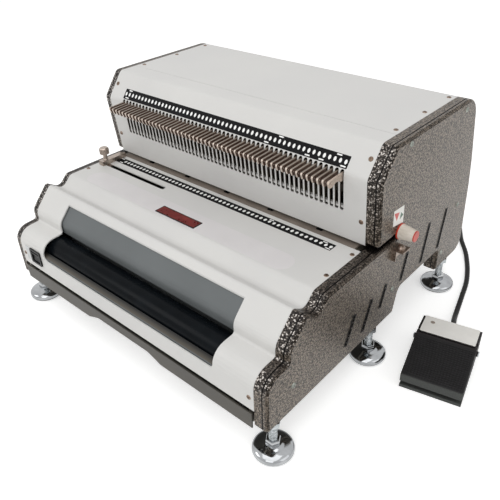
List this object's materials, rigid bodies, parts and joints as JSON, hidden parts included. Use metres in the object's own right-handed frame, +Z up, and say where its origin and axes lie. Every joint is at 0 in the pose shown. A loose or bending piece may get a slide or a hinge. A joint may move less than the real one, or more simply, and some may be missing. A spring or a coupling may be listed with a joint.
{
  "type": "electric coil punch",
  "caption": "Desk-top electric punch for coil binding with a row of pull pins over a paper throat, an inserter roller in its front, levelling feet and a corded foot pedal.",
  "frame": {"origin": "on the floor, under the middle of the machine without its cord and pedal", "axes": "+X to the right as seen from the front, along the pin row; +Y to the rear; +Z up"},
  "size_m": [0.541, 0.5562, 0.262],
  "materials": {
    "white_paint": "smooth satin paint",
    "hammer_paint": "hammertone paint",
    "grey_paint": "satin paint",
    "steel": "ground",
    "dark_steel": "blackened",
    "pin_plate": "warm plating",
    "bronze": "plain",
    "black_rubber": "matte",
    "black_plastic": "matte",
    "ivory_plastic": "satin",
    "red_plastic": "gloss",
    "chrome": "bright",
    "zinc": "zinc plated",
    "board": "printed board",
    "pedal_cast": "textured paint"
  },
  "bodies": {
    "chassis": {"left_side_panel": "hammer_paint", "right_side_panel": "hammer_paint", "left_frame_plate": "steel", "right_frame_plate": "steel", "upper_front_cover": "white_paint", "top_cover": "white_paint", "rear_cover": "white_paint", "deck_cover": "white_paint", "base_plate": "grey_paint", "die_plate": "steel", "guide_plate": "steel", "guide_columns": "steel", "column_brackets": "grey_paint", "camshaft_bearings": "dark_steel", "punch_belt": "black_rubber", "punch_motor": "dark_steel", "roller_bearings": "dark_steel", "roller_belt": "black_rubber", "roller_motor": "dark_steel", "roller_trough": "grey_paint", "switch_bezel": "black_plastic", "detent_bracket": "pin_plate", "foot_nuts": "zinc", "foot_blocks": "grey_paint", "control_board": "board", "mains_inlet": "black_plastic", "cord_gland": "black_rubber", "pedal_cord": "black_rubber", "cord_coil": "black_rubber", "pedal_base": "pedal_cast"},
    "ram": {"punch_ram": "steel", "ram_bushes": "bronze", "pin_comb": "dark_steel", "die_pins": "pin_plate", "punches": "steel"},
    "pin_52": {"die_pin_52": "pin_plate"},
    "pin_53": {"die_pin_53": "pin_plate"},
    "pin_54": {"die_pin_54": "pin_plate"},
    "cams": {"camshaft": "steel", "lift_cams": "dark_steel", "camshaft_pulley": "dark_steel"},
    "punch_drive": {"punch_motor_pulley": "dark_steel"},
    "roller": {"roller_sleeve": "black_rubber", "roller_shaft": "steel", "roller_pulley": "dark_steel"},
    "roller_drive": {"roller_motor_pulley": "dark_steel"},
    "drawer": {"chip_drawer": "grey_paint"},
    "rocker": {"switch_rocker": "black_plastic"},
    "guide": {"edge_guide": "zinc"},
    "guide_screw": {"guide_knob": "zinc"},
    "margin_stop": {"margin_rod": "steel", "margin_knob": "ivory_plastic", "knob_trim": "red_plastic"},
    "treadle": {"pedal_treadle": "pedal_cast"},
    "foot_front_left": {"foot_front_left": "chrome"},
    "foot_front_right": {"foot_front_right": "chrome"},
    "foot_middle_left": {"foot_middle_left": "chrome"},
    "foot_middle_right": {"foot_middle_right": "chrome"},
    "foot_rear_left": {"foot_rear_left": "chrome"},
    "foot_rear_right": {"foot_rear_right": "chrome"}
  },
  "joints": [
    {"name": "camshaft_turn", "type": "hinge", "parent": "chassis", "child": "cams", "pos_m": [-0.00502, 0.04318, 0.21015], "axis": [-1, 0, 0], "range_deg": [0, 150]},
    {"name": "ram_slide", "type": "slide", "parent": "chassis", "child": "ram", "axis": [0, 0, -1], "range_m": [0, 0.0201]},
    {"name": "punch_motor_turn", "type": "hinge", "parent": "chassis", "child": "punch_drive", "pos_m": [-0.00502, 0.11718, 0.19], "axis": [-1, 0, 0], "range_deg": [0, 358]},
    {"name": "pin_52_pull", "type": "slide", "parent": "ram", "child": "pin_52", "axis": [0, -1, 0], "range_m": [0, 0.012]},
    {"name": "pin_53_pull", "type": "slide", "parent": "ram", "child": "pin_53", "axis": [0, -1, 0], "range_m": [0, 0.012]},
    {"name": "pin_54_pull", "type": "slide", "parent": "ram", "child": "pin_54", "axis": [0, -1, 0], "range_m": [0, 0.012]},
    {"name": "roller_turn", "type": "hinge", "parent": "chassis", "child": "roller", "pos_m": [-0.00502, -0.17382, 0.0885], "axis": [1, 0, 0], "continuous": true},
    {"name": "roller_motor_turn", "type": "hinge", "parent": "chassis", "child": "roller_drive", "pos_m": [-0.00502, -0.11382, 0.106], "axis": [1, 0, 0], "continuous": true},
    {"name": "drawer_pull", "type": "slide", "parent": "chassis", "child": "drawer", "axis": [0, -1, 0], "range_m": [0, 0.15]},
    {"name": "rocker_tip", "type": "hinge", "parent": "chassis", "child": "rocker", "pos_m": [-0.16703, -0.19782, 0.083], "axis": [-1, 0, 0], "range_deg": [0, 16]},
    {"name": "guide_move", "type": "slide", "parent": "chassis", "child": "guide", "axis": [1, 0, 0], "range_m": [0, 0.11]},
    {"name": "guide_screw_turn", "type": "hinge", "parent": "guide", "child": "guide_screw", "pos_m": [-0.18902, -0.06082, 0.16], "axis": [0, 0, 1], "range_deg": [0, 360]},
    {"name": "margin_turn", "type": "hinge", "parent": "chassis", "child": "margin_stop", "pos_m": [-0.00502, 0.01768, 0.16], "axis": [1, 0, 0], "range_deg": [0, 180]},
    {"name": "treadle_press", "type": "hinge", "parent": "chassis", "child": "treadle", "pos_m": [0.2712, 0.03308, 0.028], "axis": [0.9763, 0.2164, 0], "range_deg": [0, 4.5], "stiffness_Nm_per_rad": 4, "springref_deg": -6.88},
    {"name": "foot_front_left_turn", "type": "hinge", "parent": "chassis", "child": "foot_front_left", "pos_m": [-0.20347, -0.18182, 0.02], "axis": [0, 0, 1], "continuous": true},
    {"name": "foot_front_right_turn", "type": "hinge", "parent": "chassis", "child": "foot_front_right", "pos_m": [0.19808, -0.18182, 0.02], "axis": [0, 0, 1], "continuous": true},
    {"name": "foot_middle_left_turn", "type": "hinge", "parent": "chassis", "child": "foot_middle_left", "pos_m": [-0.20347, -0.00922, 0.02], "axis": [0, 0, 1], "continuous": true},
    {"name": "foot_middle_right_turn", "type": "hinge", "parent": "chassis", "child": "foot_middle_right", "pos_m": [0.19808, -0.00922, 0.02], "axis": [0, 0, 1], "continuous": true},
    {"name": "foot_rear_left_turn", "type": "hinge", "parent": "chassis", "child": "foot_rear_left", "pos_m": [-0.20347, 0.16568, 0.02], "axis": [0, 0, 1], "continuous": true},
    {"name": "foot_rear_right_turn", "type": "hinge", "parent": "chassis", "child": "foot_rear_right", "pos_m": [0.19808, 0.16568, 0.02], "axis": [0, 0, 1], "continuous": true}
  ],
  "couplings": [
    {"joint": "ram_slide", "follows": "camshaft_turn", "m_per_rad": 0.0076394},
    {"joint": "punch_motor_turn", "follows": "camshaft_turn", "ratio": 2.375},
    {"joint": "roller_motor_turn", "follows": "roller_turn", "ratio": 1.4}
  ]
}
